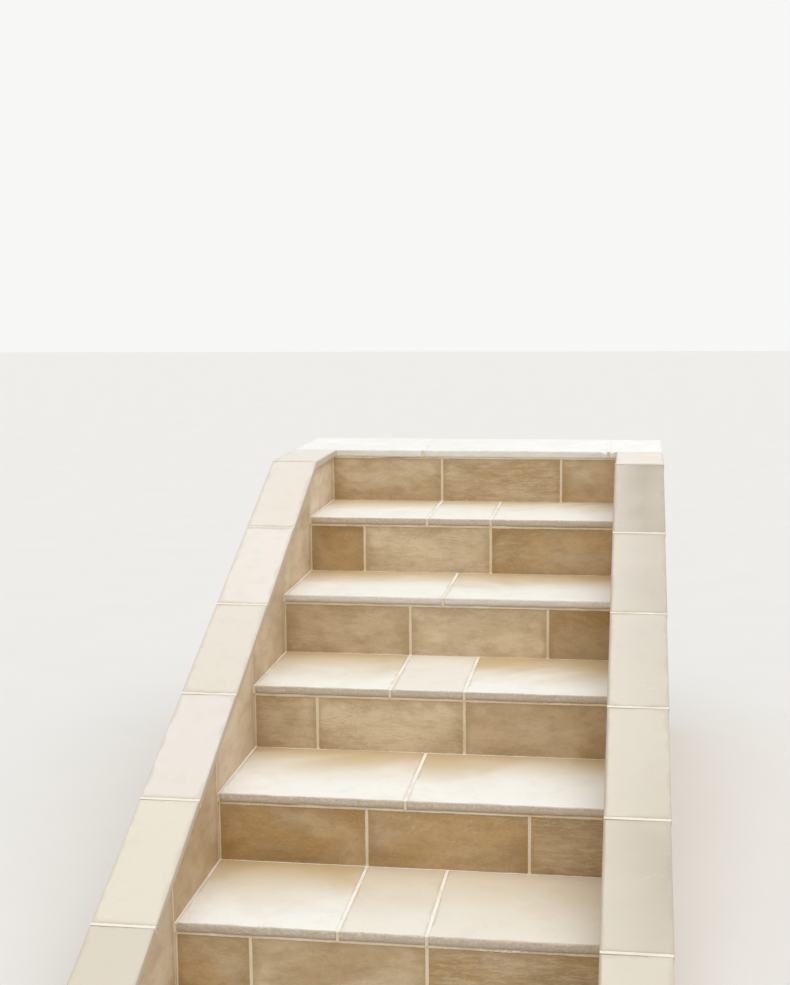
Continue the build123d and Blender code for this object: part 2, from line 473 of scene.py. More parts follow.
def outline(flat_points):
    """Corners of the outline round some points of a face, counterclockwise."""
    hull = [flat_points[n] for n in convex_hull_2d(flat_points)]
    changed = True
    while changed:
        changed = False
        for n, corner in enumerate(hull):
            before, after = hull[n - 1], hull[(n + 1) % len(hull)]
            chord = after - before
            off_line = abs(chord.cross(corner - before)) / max(chord.length, STRAIGHT)
            if off_line < STRAIGHT:
                del hull[n]
                changed = True
                break
    turn = sum(hull[n - 1].cross(hull[n]) for n in range(len(hull)))
    return hull if turn > 0 else hull[::-1]


def rim(corners, under, spacing):
    """Points round the outline at an even spacing, corners included."""
    count = len(corners)
    front_line = min(corner.y for corner in corners)
    sides = [(corners[(n + 1) % count] - corners[n]).normalized() for n in range(count)]
    inwards = [Vector((-side.y, side.x)) for side in sides]
    mitres = [(inwards[n - 1] + inwards[n]) / (1 + inwards[n - 1].dot(inwards[n])) for n in range(count)]
    points = []
    run = 0.0
    for n in range(count):
        after = (n + 1) % count
        here, there = corners[n], corners[after]
        steps = max(round((there - here).length / spacing), 2)
        front = inwards[n].y > SAME_WAY
        for k in range(steps):
            share = k / steps
            below = under[n].lerp(under[after], share)
            way = mitres[n].lerp(mitres[after], share)
            joins_front = front or (k == 0 and inwards[n - 1].y > SAME_WAY)
            place = here.lerp(there, share)
            near = max(1 - (place.y - front_line) / FRONT_REACH, 0.0)
            points.append(RimPoint(place, below, way, joins_front, near, run))
            run += (there - here).length / steps
    return points


def chips_round(length, finish, draw):
    """Chips along a rim: place, half width and depth of each."""
    chips = []
    for _ in range(round(length * finish.chips)):
        size = finish.chip_size * draw.uniform(0.25, 1.0)
        chips.append((draw.uniform(0, length), size * draw.uniform(1.2, 3.5), size))
    return chips


def taken_at(place, chips):
    """Depth that the chips have taken from an edge at a place along it."""
    taken = 0.0
    for centre, half_width, depth in chips:
        off = abs(place - centre) / half_width
        if off < 1:
            taken = max(taken, depth * (1 - off * off))
    return taken


def split_at(place, depth, finish):
    """How far the split front of a tread lies behind its plane."""
    at = Vector((place.x * 26, place.y * 26, depth * 90))
    broad = noise.fractal(at, 0.9, 2.1, 4)
    return finish.split * min(max(0.5 + 0.75 * broad, 0.0), 1.0)


def hollow_at(place, finish, offset):
    """How far the seen face lies below its plane at a place."""
    at = Vector((place.x / finish.relief_size, place.y * finish.stretch / finish.relief_size, 0)) + offset
    swell = noise.fractal(at, 0.8, 2.0, 4)
    return finish.relief * min(max(0.5 + 0.6 * swell, 0.0), 1.0)


def drawn_back(point, depth, finish, offset):
    """How far the wavy, split front lies behind its plane at a point of the rim."""
    bend = noise.noise(Vector((point.place.x * 17, offset.x, offset.y)))
    wave = finish.wave * min(max(0.5 + 1.1 * bend, 0.0), 1.0) * point.near_front
    split = split_at(point.place, depth, finish) if point.on_front else 0.0
    return Vector((0, wave + split))


def worn_radii(points, finish, chips, knocks, offset):
    """Radius of the worn edge at each point of a rim, with what chips and knocks took off it."""
    radii = []
    for point in points:
        radius = finish.nosing_arris if point.on_front and finish.nosing_arris else finish.arris
        rough = noise.fractal(Vector((point.run * 45, offset.x, offset.y)), 0.8, 2.0, 3)
        radius = max(radius * (1 + finish.wear * rough), 0.4 * radius)
        taken = taken_at(point.run, chips)
        if point.on_front:
            taken = max(taken, taken_at(point.place.x, knocks))
        radii.append(radius + taken)
    return radii


def lay_slab(gathered, part, lie, finish, lot, span, knocks, draw):
    """Add one worn slab to the gathered mesh, in the place of a solid of the frame."""
    top_height = max(p.dot(lie.out) for p in part)
    thickness = top_height - min(p.dot(lie.out) for p in part)
    corners = outline([lie.flat(p) for p in part if top_height - p.dot(lie.out) < ARRIS_DEPTH])
    under = outline([lie.flat(p) for p in part if top_height - p.dot(lie.out) > thickness - ARRIS_DEPTH])
    under = [min(under, key=lambda u: (u - corner).length) for corner in corners]
    points = rim(corners, under, finish.spacing)
    chips = chips_round(points[-1].run, finish, draw)
    offset = Vector([draw.uniform(-40, 40) for _ in range(3)])
    radii = worn_radii(points, finish, chips, knocks, offset)
    low, high = span

    def add(flat, depth, edge, front):
        """Add a point at a place on the face and a depth below it; its index."""
        hollow = hollow_at(flat, finish, offset)
        sunk = depth + hollow * (1 - depth / thickness)
        grain = (flat.x + offset.x, flat.y + offset.y, depth + offset.z)
        reach = (flat.y - low) / (high - low)
        return gathered.add_point(lie.solid(flat, top_height - sunk), grain, lot, edge, reach, front)

    def worn_place(point, depth, inset, front_depth):
        """Place on the face of a point of the rim, at a depth and as far in as the wear takes it."""
        sloped = point.place.lerp(point.below, depth / thickness)
        return sloped + point.inwards * inset + drawn_back(point, front_depth, finish, offset)

    rings = []
    foot = min(finish.arris, FOOT_ARRIS) if finish.side_rings else 0.0
    for n in range(finish.side_rings + 1):
        level = 1 - n / (finish.side_rings + 1)
        inset = foot if n == 0 else 0.0
        ring = []
        for point, radius in zip(points, radii):
            depth = radius + (thickness - radius) * level
            front = point.on_front * (0.5 + 0.5 * depth / thickness)
            ring.append(add(worn_place(point, depth, inset, depth), depth, 0.0, front))
        rings.append(ring)
    for degrees in ARRIS_TURNS:
        turn = math.radians(degrees)
        ring = []
        for point, radius in zip(points, radii):
            depth = radius * (1 - math.sin(turn))
            inset = radius * (1 - math.cos(turn))
            front = point.on_front * 0.5 * math.cos(turn)
            ring.append(add(worn_place(point, depth, inset, radius), depth, inset, front))
        rings.append(ring)
    inner = [worn_place(point, 0.0, radius + EVEN_MARGIN, radius) for point, radius in zip(points, radii)]
    inner_ring = [add(flat, 0.0, radius + EVEN_MARGIN, 0.0) for flat, radius in zip(inner, radii)]
    rings.append(inner_ring)
    for lower, upper in zip(rings, rings[1:]):
        for n in range(len(points)):
            after = (n + 1) % len(points)
            gathered.faces.append((lower[n], lower[after], upper[after], upper[n]))
    gathered.faces.append(tuple(reversed(rings[0])))
    fill_face(gathered, inner, inner_ring, corners, finish, add)


def fill_face(gathered, inner, inner_ring, corners, finish, add):
    """Close the seen face inside its innermost ring with evenly spread points."""
    count = len(corners)
    sides = []
    for n in range(count):
        side = (corners[(n + 1) % count] - corners[n]).normalized()
        sides.append((corners[n], Vector((-side.y, side.x))))

    def edge_distance(place):
        return min((place - corner).dot(way) for corner, way in sides)

    keep_off = min(edge_distance(p) for p in inner) + 0.6 * finish.face_spacing
    low = [min(c[axis] for c in corners) for axis in range(2)]
    high = [max(c[axis] for c in corners) for axis in range(2)]
    inside = []
    row_height = finish.face_spacing * math.sqrt(3) / 2
    rows = int((high[1] - low[1]) / row_height)
    for row in range(1, rows + 1):
        y = low[1] + row * row_height
        shift = 0.5 * (row % 2)
        for n in range(int((high[0] - low[0]) / finish.face_spacing) + 1):
            place = Vector((low[0] + (n + shift) * finish.face_spacing, y))
            if edge_distance(place) > keep_off:
                inside.append(place)
    loop = [(n, (n + 1) % len(inner)) for n in range(len(inner))]
    placed, _, faces, source, _, _ = delaunay_2d_cdt(inner + inside, loop, [], 1, 0.01 * MM)
    index = {}
    for n, origins in enumerate(source):
        first = min(origins) if origins else None
        if first is not None and first < len(inner):
            index[n] = inner_ring[first]
        else:
            index[n] = add(placed[n], 0.0, edge_distance(placed[n]), 0.0)
    for face in faces:
        gathered.faces.append(tuple(index[n] for n in face))


def lay_node(node, lie, finish, material):
    """Replace a node of the frame by worn slabs, one for each of its solids."""
    draw = random.Random(node)
    gathered = SlabMesh()
    heights = [v.co.dot(lie.along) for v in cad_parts[node].data.vertices]
    span = (min(heights), max(heights))
    tones = SLAB_TONES_AND_SHADE.get(node, ())
    for number, part in enumerate(loose_parts(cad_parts[node].data)):
        varied = draw.uniform(-0.25, 0.25)
        tone = tones[number] if number < len(tones) else varied
        hue = draw.uniform(-1, 1)
        lot = (tone, SLAB_HUES.get(node, hue), draw.uniform(0, 1))
        lay_slab(gathered, part, lie, finish, lot, span, KNOCKS.get(node, ()), draw)
    made = gathered.build("worn_" + node)
    made.data.materials.append(material)
    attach(made, "root")
    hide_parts(node)
    return made


class Wiring:
    """Adds nodes to a tree and joins them up."""

    def __init__(self, tree):
        self.tree = tree

    def add(self, kind, inputs=None, **settings):
        """Add a node; each input takes a value or is joined to another node's output."""
        made = self.tree.nodes.new(kind)
        for key, value in settings.items():
            setattr(made, key, value)
        for key, value in (inputs or {}).items():
            self.give(made.inputs[key], value)
        return made

    def give(self, socket, value):
        """Join an output to a socket, or set the socket to a value."""
        if isinstance(value, bpy.types.NodeSocket):
            self.tree.links.new(value, socket)
        else:
            socket.default_value = value

    def math(self, operation, a, b=0.0, clamp=False):
        return self.add("ShaderNodeMath", {0: a, 1: b}, operation=operation, use_clamp=clamp).outputs[0]

    def remap(self, value, low, high, to_low=0.0, to_high=1.0):
        """Value moved smoothly from one range to another, and kept inside it."""
        inputs = {"Value": value, "From Min": low, "From Max": high, "To Min": to_low, "To Max": to_high}
        return self.add("ShaderNodeMapRange", inputs, interpolation_type="SMOOTHSTEP").outputs[0]

    def mix(self, share, a, b, blend="MIX"):
        """Colour between a and b."""
        made = self.add("ShaderNodeMix", {0: share}, data_type="RGBA", blend_type=blend)
        self.give(made.inputs[6], self.colour(a))
        self.give(made.inputs[7], self.colour(b))
        return made.outputs[2]

    def colour(self, value):
        if isinstance(value, bpy.types.NodeSocket):
            return value
        return (*value[:3], 1.0)

    def scaled(self, vector, by):
        """Vector stretched by a different amount on each axis."""
        return self.add("ShaderNodeVectorMath", {0: vector, 1: by}, operation="MULTIPLY").outputs[0]

    def noise(self, vector, scale, detail=3.0, roughness=0.5, distortion=0.0):
        """Soft noise from 0 to 1; its scale is in patches a metre."""
        inputs = {
            "Vector": vector,
            "Scale": scale,
            "Detail": detail,
            "Roughness": roughness,
            "Distortion": distortion,
        }
        return self.add("ShaderNodeTexNoise", inputs).outputs[0]

    def attribute(self, name, output="Fac"):
        """Value that the mesh holds at each point."""
        return self.add("ShaderNodeAttribute", attribute_name=name).outputs[output]

    def use(self, group, **inputs):
        """Place a shader node group; words in its inputs' names are joined with underscores here."""
        made = self.add("ShaderNodeGroup", node_tree=group)
        for key, value in inputs.items():
            self.give(made.inputs[key.replace("_", " ")], value)
        return made.outputs

    def arrange(self):
        """Set the nodes out in columns in the order in which they were added."""
        for n, made in enumerate(self.tree.nodes):
            made.location = ((n // 6) * 220, -(n % 6) * 230)


def new_group(name, inputs, outputs):
    """Shader node group with named sockets; its wiring and its input and output nodes' sockets."""
    tree = bpy.data.node_groups.new(name, "ShaderNodeTree")
    for label, kind, default in inputs:
        socket = tree.interface.new_socket(label, in_out="INPUT", socket_type=kind)
        if default is not None:
            socket.default_value = default
    for label in outputs:
        tree.interface.new_socket(label, in_out="OUTPUT", socket_type="NodeSocketFloat")
    wiring = Wiring(tree)
    given = wiring.add("NodeGroupInput").outputs
    results = wiring.add("NodeGroupOutput").inputs
    return wiring, given, results


def group(name, build):
    """The group of that name, built at its first use."""
    return bpy.data.node_groups.get(name) or build(name)


def cloudy_tone(name):
    """Soft patches of three sizes, for the unevenness of cast and natural stone."""
    wiring, given, results = new_group(
        name,
        [("Vector", "NodeSocketVector", None), ("Patch Size", "NodeSocketFloat", 0.2)],
        ["Patches", "Mottle", "Grain"],
    )
    per_metre = wiring.math("DIVIDE", 1.0, given["Patch Size"])
    patches = wiring.noise(given["Vector"], per_metre, 3.0, 0.55, 0.5)
    mottle = wiring.noise(given["Vector"], wiring.math("MULTIPLY", per_metre, 5.5), 4.0, 0.6, 0.2)
    grain = wiring.noise(given["Vector"], 620.0, 2.0, 0.6)
    wiring.tree.links.new(wiring.remap(patches, 0.3, 0.7), results["Patches"])
    wiring.tree.links.new(wiring.remap(mottle, 0.28, 0.72), results["Mottle"])
    wiring.tree.links.new(grain, results["Grain"])
    wiring.arrange()
    return wiring.tree


def riven_ledges(name):
    """Shallow ledges of split stone, longer across than up, with a painted highlight on each brow and painted
    shade at each foot.
    """
    wiring, given, results = new_group(
        name,
        [
            ("Vector", "NodeSocketVector", None),
            ("Size", "NodeSocketFloat", 0.09),
            ("Ledges", "NodeSocketFloat", 6.0),
        ],
        ["Height", "Brow", "Foot"],
    )
    flattened = wiring.scaled(given["Vector"], (1.0, 4.6, 1.0))
    broad = wiring.noise(flattened, wiring.math("DIVIDE", 1.0, given["Size"]), 3.5, 0.5, 0.3)
    level = wiring.math("MULTIPLY", broad, given["Ledges"])
    above = wiring.math("FRACT", level)
    whole = wiring.math("FLOOR", level)
    step = wiring.remap(above, 0.8, 1.0)
    height = wiring.math("DIVIDE", wiring.math("ADD", whole, step), given["Ledges"])
    wiring.tree.links.new(height, results["Height"])
    # Brow is the painted highlight of each ledge, Foot the painted shade below it
    wiring.tree.links.new(wiring.remap(above, 0.84, 0.93), results["Brow"])
    wiring.tree.links.new(wiring.remap(above, 0.0, 0.16, 1.0, 0.0), results["Foot"])
    wiring.arrange()
    return wiring.tree


def joint_edge(name):
    """Thin film of mortar left along a slab's edges, and the darker margin inside it."""
    wiring, given, results = new_group(
        name,
        [
            ("Vector", "NodeSocketVector", None),
            ("Edge", "NodeSocketFloat", 0.0),
            ("Film Width", "NodeSocketFloat", 0.003),
            ("Margin Width", "NodeSocketFloat", 0.03),
        ],
        ["Film", "Margin"],
    )
    ragged = wiring.noise(given["Vector"], 85.0, 4.0, 0.65)
    reach = wiring.math("MULTIPLY", given["Film Width"], wiring.remap(ragged, 0.3, 0.75, 0.15, 1.7))
    film = wiring.remap(wiring.math("DIVIDE", given["Edge"], reach), 0.6, 1.1, 1.0, 0.0)
    uneven = wiring.noise(given["Vector"], 14.0, 3.0, 0.5)
    width = wiring.math("MULTIPLY", given["Margin Width"], wiring.remap(uneven, 0.3, 0.7, 0.3, 1.5))
    margin = wiring.remap(wiring.math("DIVIDE", given["Edge"], width), 0.0, 1.0, 1.0, 0.0)
    wiring.tree.links.new(film, results["Film"])
    wiring.tree.links.new(margin, results["Margin"])
    wiring.arrange()
    return wiring.tree


def pores_and_scuffs(name):
    """Small dark pores, and pale scuffs that run at a slant."""
    wiring, given, results = new_group(
        name,
        [("Vector", "NodeSocketVector", None), ("Scuff Size", "NodeSocketFloat", 0.05)],
        ["Pores", "Scuffs"],
    )
    cells = wiring.add("ShaderNodeTexVoronoi", {"Vector": given["Vector"], "Scale": 60.0})
    far = wiring.remap(cells.outputs["Distance"], 0.03, 0.09, 1.0, 0.0)
    few = wiring.remap(wiring.noise(given["Vector"], 9.0, 2.0), 0.56, 0.66)
    turned = wiring.add(
        "ShaderNodeMapping", {"Vector": given["Vector"], "Rotation": (0.0, 0.0, math.radians(-28))}
    ).outputs[0]
    slanted = wiring.scaled(turned, (1.0, 6.0, 1.0))
    marks = wiring.noise(slanted, wiring.math("DIVIDE", 1.0, given["Scuff Size"]), 3.0, 0.7, 0.8)
    where = wiring.remap(wiring.noise(given["Vector"], 6.0, 2.0), 0.56, 0.7)
    scuffs = wiring.math("MULTIPLY", wiring.remap(marks, 0.58, 0.68), where)
    wiring.tree.links.new(wiring.math("MULTIPLY", far, few), results["Pores"])
    wiring.tree.links.new(scuffs, results["Scuffs"])
    wiring.arrange()
    return wiring.tree


def sandy_grain(name):
    """Grains of sand, with the share of dirt between them and their roughness."""
    wiring, given, results = new_group(
        name,
        [("Vector", "NodeSocketVector", None), ("Fineness", "NodeSocketFloat", 120.0)],
        ["Height", "Dirt", "Roughness"],
    )
    sand = wiring.noise(given["Vector"], given["Fineness"], 4.0, 0.7)
    wiring.tree.links.new(sand, results["Height"])
    wiring.tree.links.new(wiring.remap(sand, 0.3, 0.45, 0.3, 0.0), results["Dirt"])
    wiring.tree.links.new(wiring.remap(sand, 0.3, 0.7, 0.78, 0.92), results["Roughness"])
    wiring.arrange()
    return wiring.tree


class Surface:
    """Material in the making: its wiring and its shader."""

    def __init__(self, name):
        self.material = bpy.data.materials.new(name)
        self.material.use_nodes = True
        self.wiring = Wiring(self.material.node_tree)
        self.shader = self.material.node_tree.nodes["Principled BSDF"]
        self.palette = bpy.context.scene.stair_colours

    def finish(self, colour, roughness, height, depth):
        """Join the colour, roughness and relief to the shader."""
        wiring = self.wiring
        bump = wiring.add("ShaderNodeBump", {"Strength": 1.0, "Distance": depth, "Height": height})
        wiring.give(self.shader.inputs["Base Color"], colour)
        wiring.give(self.shader.inputs["Roughness"], roughness)
        wiring.give(self.shader.inputs["Normal"], bump.outputs[0])
        wiring.arrange()
        return self.material


class Stone(Surface):
    """Stone material in the making, with what every stone finish reads from its slabs."""

    def __init__(self, name):
        super().__init__(name)
        self.grain = self.wiring.attribute("grain", "Vector")
        self.edge = self.wiring.attribute("edge")
        self.reach = self.wiring.attribute("reach")
        self.front = self.wiring.attribute("front")
        lot = self.wiring.add("ShaderNodeSeparateXYZ", {0: self.wiring.attribute("lot", "Vector")}).outputs
        self.tone, self.hue, self.luck = lot


def facing_ochre(stone, cloud, pale, deep, golden, paler_above):
    """Ochre of a tile, by its tone and its height in the wall, with grey and golden patches.

    It gives the colour, and the noise that the grey patches follow.
    """
    w = stone.wiring
    own = w.remap(stone.tone, -1.0, 1.0, 0.1, 0.9)
    paleness = w.math("ADD", own, w.remap(stone.reach, 0.1, 1.0, 0.0, paler_above))
    share = w.math("ADD", paleness, w.remap(cloud["Patches"], 0.0, 1.0, -0.23, 0.23), clamp=True)
    colour = w.mix(share, deep, pale)
    greyness = w.noise(w.scaled(stone.grain, (0.8, 1.3, 1.0)), 3.4, 2.0, 0.5)
    most_grey = w.remap(stone.hue, -1.0, 1.0, 0.05, 0.38)
    greyed = w.math("MULTIPLY", w.remap(greyness, 0.42, 0.68), most_grey)
    colour = w.mix(greyed, colour, stone.palette.tile_grey)
    warmth = w.noise(w.scaled(stone.grain, (0.9, 1.6, 1.0)), 5.5, 3.0, 0.5)
    most_golden = w.remap(stone.tone, -0.5, 0.6, golden, 0.0)
    gilded = w.math("MULTIPLY", w.remap(warmth, 0.36, 0.62), most_golden)
    gilded = w.math("MULTIPLY", gilded, w.remap(stone.tone, -0.9, -0.55, 0.25, 1.0))
    return w.mix(gilded, colour, stone.palette.riser_golden), greyness


def split_ledges(stone, colour, deep, shown):
    """Painted highlights on the brows and painted shade at the feet of split ledges over a tile's colour, and
    the ledges' height.
    """
    w = stone.wiring
    ledges = w.use(group("Riven Ledges", riven_ledges), Vector=stone.grain, Size=0.1)
    # Painted highlight on the brows, painted shade at the feet
    brow_highlights = w.math("MULTIPLY", w.math("MULTIPLY", ledges["Brow"], 0.22), shown)
    colour = w.mix(brow_highlights, colour, stone.palette.mortar_upright_shaded)
    foot_shade = w.math("MULTIPLY", w.math("MULTIPLY", ledges["Foot"], 0.4), shown)
    return w.mix(foot_shade, colour, deep), ledges["Height"]


def facing_stone(
    name, pale, deep, patch_size, film_width, golden=0.2, paler_above=0.0, under_nosing=False
):
    """Ochre tile with soft patches and darker margins, and on some tiles the lines of split ledges.

    Rather dark tiles have golden patches, and the darkest have fewer.
    A node's tiles may get paler towards its top, and the film of mortar on their edges may be wide.
    Under a nosing the mortar is smeared down over the tiles, with a painted shadow line below it.
    """
    stone = Stone(name)
    w = stone.wiring
    lying = w.scaled(stone.grain, (0.7, 1.5, 1.0))
    cloud = w.use(group("Cloudy Tone", cloudy_tone), Vector=lying, Patch_Size=patch_size)
    marks = w.use(group("Pores and Scuffs", pores_and_scuffs), Vector=stone.grain, Scuff_Size=0.035)
    edges = w.use(
        group("Joint Edge", joint_edge),
        Vector=stone.grain,
        Edge=stone.edge,
        Film_Width=film_width,
        Margin_Width=0.042,
    )
    riven = w.remap(stone.luck, 0.3, 0.9, 0.15, 1.0)
    colour, greyness = facing_ochre(stone, cloud, pale, deep, golden, paler_above)
    streaks = w.noise(w.scaled(stone.grain, (1.0, 7.0, 1.0)), 17.0, 5.0, 0.65, 0.5)
    streaked = w.math("MULTIPLY", w.remap(streaks, 0.42, 0.66, 0.0, 0.44), riven)
    colour = w.mix(streaked, colour, pale)
    colour = w.mix(w.remap(cloud["Mottle"], 0.0, 0.7, 0.2, 0.0), colour, deep, "MULTIPLY")
    colour = w.mix(w.math("MULTIPLY", edges["Margin"], 0.42), colour, deep)
    colour = w.mix(w.math("MULTIPLY", marks["Scuffs"], 0.2), colour, stone.palette.tread_bleached_and_sheen)
    fine = w.noise(w.scaled(stone.grain, (1.0, 2.2, 1.0)), 120.0, 4.0, 0.7)
    colour = w.mix(w.remap(fine, 0.3, 0.5, 0.2, 0.0), colour, deep)
    colour = w.mix(w.remap(fine, 0.5, 0.7, 0.0, 0.2), colour, pale)
    shown = w.math("MULTIPLY", riven, w.remap(greyness, 0.3, 0.6, 0.15, 1.0))
    colour, ledge_height = split_ledges(stone, colour, deep, shown)
    colour = w.mix(w.math("MULTIPLY", edges["Film"], 0.6), colour, stone.palette.mortar_upright_shaded)
    if under_nosing:
        top = w.math("ADD", stone.reach, w.remap(streaks, 0.3, 0.7, -0.006, 0.006))
        # Painted shadow line under the nosing, just below the smeared mortar
        colour = w.mix(w.remap(top, 0.95, 0.975, 0.0, 0.2), colour, deep)
        colour = w.mix(w.remap(top, 0.976, 0.984, 0.0, 0.8), colour, stone.palette.mortar_upright_shaded)
    roughness = w.remap(cloud["Mottle"], 0.0, 1.0, 0.62, 0.8)
    relief = w.math("MULTIPLY", ledge_height, w.math("MULTIPLY", riven, 1.6))
    relief = w.math("ADD", relief, w.math("MULTIPLY", streaks, 0.3))
    relief = w.math("ADD", relief, w.math("MULTIPLY", cloud["Grain"], 0.1))
    return stone.finish(colour, roughness, relief, 1.4 * MM)


def split_front(stone):
    """Crumbly front of a tread, darker at its foot partly from dirt and partly as painted shade; its colour,
    and how broken it is.
    """
    w = stone.wiring
    palette = stone.palette
    split = w.noise(w.scaled(stone.grain, (1.0, 1.0, 2.2)), 38.0, 3.0, 0.55)
    colour = w.mix(w.remap(split, 0.3, 0.65, 0.3, 0.0), palette.nosing, palette.tile_grey)
    crumbs = w.noise(w.scaled(stone.grain, (1.0, 1.0, 1.8)), 150.0, 4.0, 0.65)
    colour = w.mix(w.remap(crumbs, 0.5, 0.72, 0.0, 0.4), colour, palette.tread_bleached_and_sheen)
    colour = w.mix(w.remap(crumbs, 0.3, 0.5, 0.3, 0.0), colour, palette.nosing_foot)
    colour = w.mix(w.remap(stone.hue, 0.0, 1.0, 0.0, 0.45), colour, palette.tread_bleached_and_sheen)
    colour = w.mix(w.remap(stone.hue, -1.0, 0.0, 0.35, 0.0), colour, palette.nosing_foot)
    # Darker towards the foot of the front: partly dirt, partly painted shade
    colour = w.mix(w.remap(stone.front, 0.72, 1.0, 0.0, 0.6), colour, palette.nosing_foot)
    return colour, w.math("ADD", split, w.math("MULTIPLY", crumbs, 0.6))


def tread_stone(name):
    """Walked stone: ochre against the riser and pale towards the nosing, partly by wear and partly as painted
    shade at the back and painted sheen at the front; grey where it is split.
    """
    stone = Stone(name)
    w = stone.wiring
    palette = stone.palette
    cloud = w.use(group("Cloudy Tone", cloudy_tone), Vector=stone.grain, Patch_Size=0.45)
    marks = w.use(group("Pores and Scuffs", pores_and_scuffs), Vector=stone.grain, Scuff_Size=0.05)
    edges = w.use(
        group("Joint Edge", joint_edge),
        Vector=stone.grain,
        Edge=stone.edge,
        Film_Width=0.0013,
        Margin_Width=0.009,
    )
    # Ochre at the back to bleached at the front: part wear, part painted shade against the riser and painted
    # sheen towards the nosing
    drift = w.remap(cloud["Patches"], 0.0, 1.0, -0.12, 0.12)
    walked_and_lit = w.math("SUBTRACT", w.math("ADD", stone.reach, drift), w.math("MULTIPLY", stone.tone, 0.35))
    worn_and_sheen = w.remap(walked_and_lit, 0.3, 1.08, 1.0, 0.0)
    evenly = w.remap(w.math("ABSOLUTE", stone.tone), 0.35, 0.45, 0.0, 0.7)
    own = w.math("ADD", 0.66, w.math("MULTIPLY", stone.tone, 0.1))
    worn_and_sheen = w.add("ShaderNodeMix", {0: evenly, 2: worn_and_sheen, 3: own}, data_type="FLOAT").outputs[0]
    colour = w.mix(worn_and_sheen, palette.tread_ochre, palette.tread_bleached_and_sheen)
    fine = w.noise(stone.grain, 90.0, 4.0, 0.7)
    colour = w.mix(w.remap(fine, 0.3, 0.5, 0.08, 0.0), colour, palette.tread_ochre)
    colour = w.mix(w.remap(cloud["Mottle"], 0.0, 0.5, 0.1, 0.0), colour, palette.tread_ochre)
    # Painted shade on the worn edges beside the joints
    colour = w.mix(w.math("MULTIPLY", edges["Margin"], 0.45), colour, palette.tile_grey)
    colour = w.mix(w.math("MULTIPLY", marks["Scuffs"], 0.35), colour, palette.mortar)
    colour = w.mix(w.math("MULTIPLY", marks["Pores"], 0.3), colour, palette.riser_deep)
    front_colour, broken = split_front(stone)
    colour = w.mix(w.remap(stone.front, 0.08, 0.3), colour, front_colour)
    film = w.math("MULTIPLY", edges["Film"], w.remap(stone.front, 0.0, 0.3, 0.85, 0.0))
    colour = w.mix(film, colour, palette.mortar)
    roughness = w.remap(worn_and_sheen, 0.0, 1.0, 0.62, 0.5)
    relief = w.math("MULTIPLY", cloud["Mottle"], 0.5)
    relief = w.math("ADD", relief, w.math("MULTIPLY", cloud["Grain"], 0.14))
    relief = w.math("ADD", relief, w.math("MULTIPLY", w.math("MULTIPLY", broken, stone.front), 1.4))
    return stone.finish(colour, roughness, relief, 0.8 * MM)


def coping_colour_and_shade(stone):
    """Coping's colour: creamy low on the stair; duller by tone, and on the right darker outwards as painted
    shade, with a strip of painted shade at the flight.
    """
    w = stone.wiring
    palette = stone.palette
    place = w.add("ShaderNodeTexCoord").outputs["Object"]
    across, _, height = w.add("ShaderNodeSeparateXYZ", {0: place}).outputs
    high = w.remap(height, 0.15 * CAD_BOX[1].z, CAD_BOX[1].z)
    colour = w.mix(high, palette.coping_cream, palette.coping_pale)
    colour = w.mix(w.remap(stone.hue, 0.0, 2.0, 0.0, 0.8), colour, palette.coping_rosy)
    # Darker outwards on the right: painted shade, scaled by each slab's tone
    outwards = w.remap(across, 0.9 * FLIGHT_EDGE, CAD_BOX[1].x, 0.45, 1.15)
    dull_and_shade = w.math("MULTIPLY", w.math("MULTIPLY", stone.tone, -1.0), outwards, clamp=True)
    colour = w.mix(dull_and_shade, colour, palette.coping_dull_and_shade)
    # Painted shade along the right coping's edge over the flight
    edge_shade = w.remap(across, FLIGHT_EDGE + 3 * MM, FLIGHT_EDGE + 8 * MM, 0.75, 0.0)
    edge_shade = w.math("MULTIPLY", edge_shade, w.math("GREATER_THAN", across, 0.0))
    return w.mix(edge_shade, colour, palette.coping_edge_shade)


